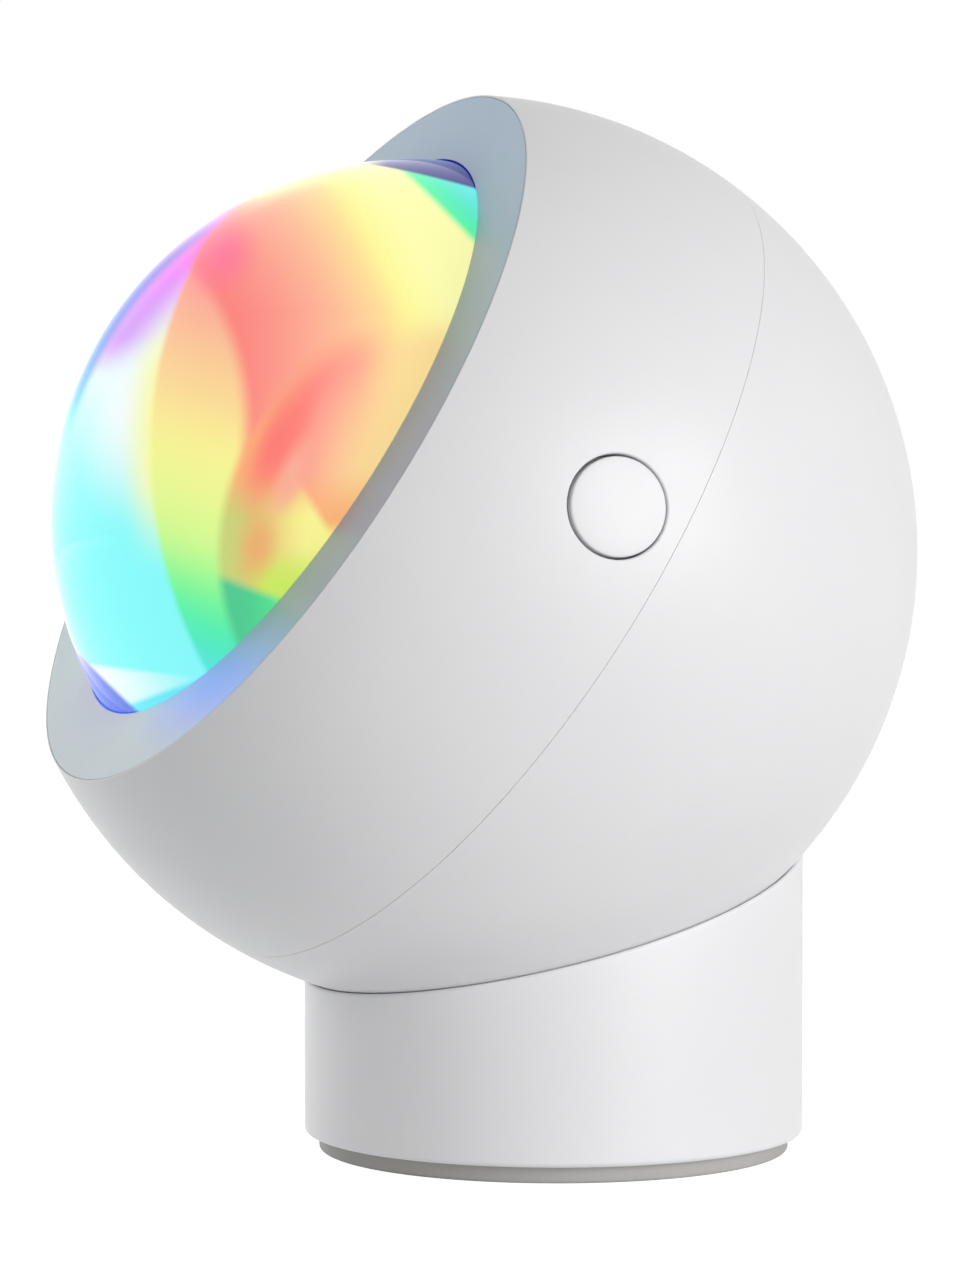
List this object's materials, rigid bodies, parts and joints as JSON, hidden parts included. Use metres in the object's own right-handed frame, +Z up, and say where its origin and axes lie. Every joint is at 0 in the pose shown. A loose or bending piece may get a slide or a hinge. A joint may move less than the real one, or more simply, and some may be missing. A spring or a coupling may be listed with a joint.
{
  "type": "sunset projection lamp",
  "caption": "Ball-shaped projection lamp with a glass dome lens and side push button, tilting and turning on a magnetic cup base.",
  "frame": {"origin": "centre of the foot pad's underside, on the axis of the round base", "axes": "+Z up; the lens looks towards -Y and upward; +X is the side of the push button"},
  "size_m": [0.08, 0.0761, 0.093],
  "materials": {
    "shell_white": "satin injection-moulded white",
    "bezel_grey": "satin blue-grey",
    "lens_glass": "polished optical glass",
    "filter_glass": "dichroic coated",
    "silicone_clear": "clear silicone",
    "tube_black": "matt black",
    "pressed_steel": "pressed sheet",
    "cast_steel": "rough cast",
    "bare_aluminium": "extruded",
    "board_aluminium": "white solder mask on aluminium",
    "led_ceramic": "ceramic with yellow phosphor",
    "board_fibre": "green glass-fibre board",
    "chip_black": "epoxy",
    "socket_steel": "plated",
    "cell_foil": "foil pouch",
    "tray_black": "moulded",
    "lead_red": "insulated wire",
    "switch_black": "moulded",
    "plunger_white": "moulded",
    "screw_steel": "zinc plated",
    "magnet_nickel": "nickel plated",
    "plate_grey": "moulded",
    "pad_grey": "matt silicone",
    "ring_black": "slippery plastic"
  },
  "bodies": {
    "base": {"base_shell": "shell_white", "magnet": "magnet_nickel", "magnet_clip": "tray_black", "ballast_weight": "cast_steel", "bottom_plate": "plate_grey", "foot_pad": "pad_grey", "base_screws": "screw_steel"},
    "pan_ring": {"glide_ring": "ring_black"},
    "head": {"front_shell": "shell_white", "rear_shell": "shell_white", "steel_cap": "pressed_steel", "lens_bezel": "bezel_grey", "lens": "lens_glass", "lens_gasket": "silicone_clear", "dichroic_filter": "filter_glass", "light_tube": "tube_black", "led_board": "board_aluminium", "led_emitter": "led_ceramic", "heat_sink": "bare_aluminium", "main_board": "board_fibre", "board_chips": "chip_black", "usb_socket": "socket_steel", "battery": "cell_foil", "battery_tray": "tray_black", "led_leads": "lead_red", "battery_leads": "lead_red", "switch_leads": "lead_red", "switch_body": "switch_black", "switch_board": "board_fibre", "head_screws": "screw_steel"},
    "button": {"button_cap": "shell_white", "switch_plunger": "plunger_white"}
  },
  "joints": [
    {"name": "head_pan", "type": "hinge", "parent": "base", "child": "pan_ring", "pos_m": [0, -0.009, 0.053], "axis": [0, 0, 1], "continuous": true},
    {"name": "head_tilt", "type": "hinge", "parent": "pan_ring", "child": "head", "pos_m": [0, -0.009, 0.053], "axis": [-1, 0, 0], "range_deg": [-26, 54]},
    {"name": "button_press", "type": "slide", "parent": "head", "child": "button", "axis": [-0.9911, 0.0926, -0.096], "range_m": [0, 0.0005], "stiffness_N_per_m": 2000, "springref_m": -0.0005}
  ]
}
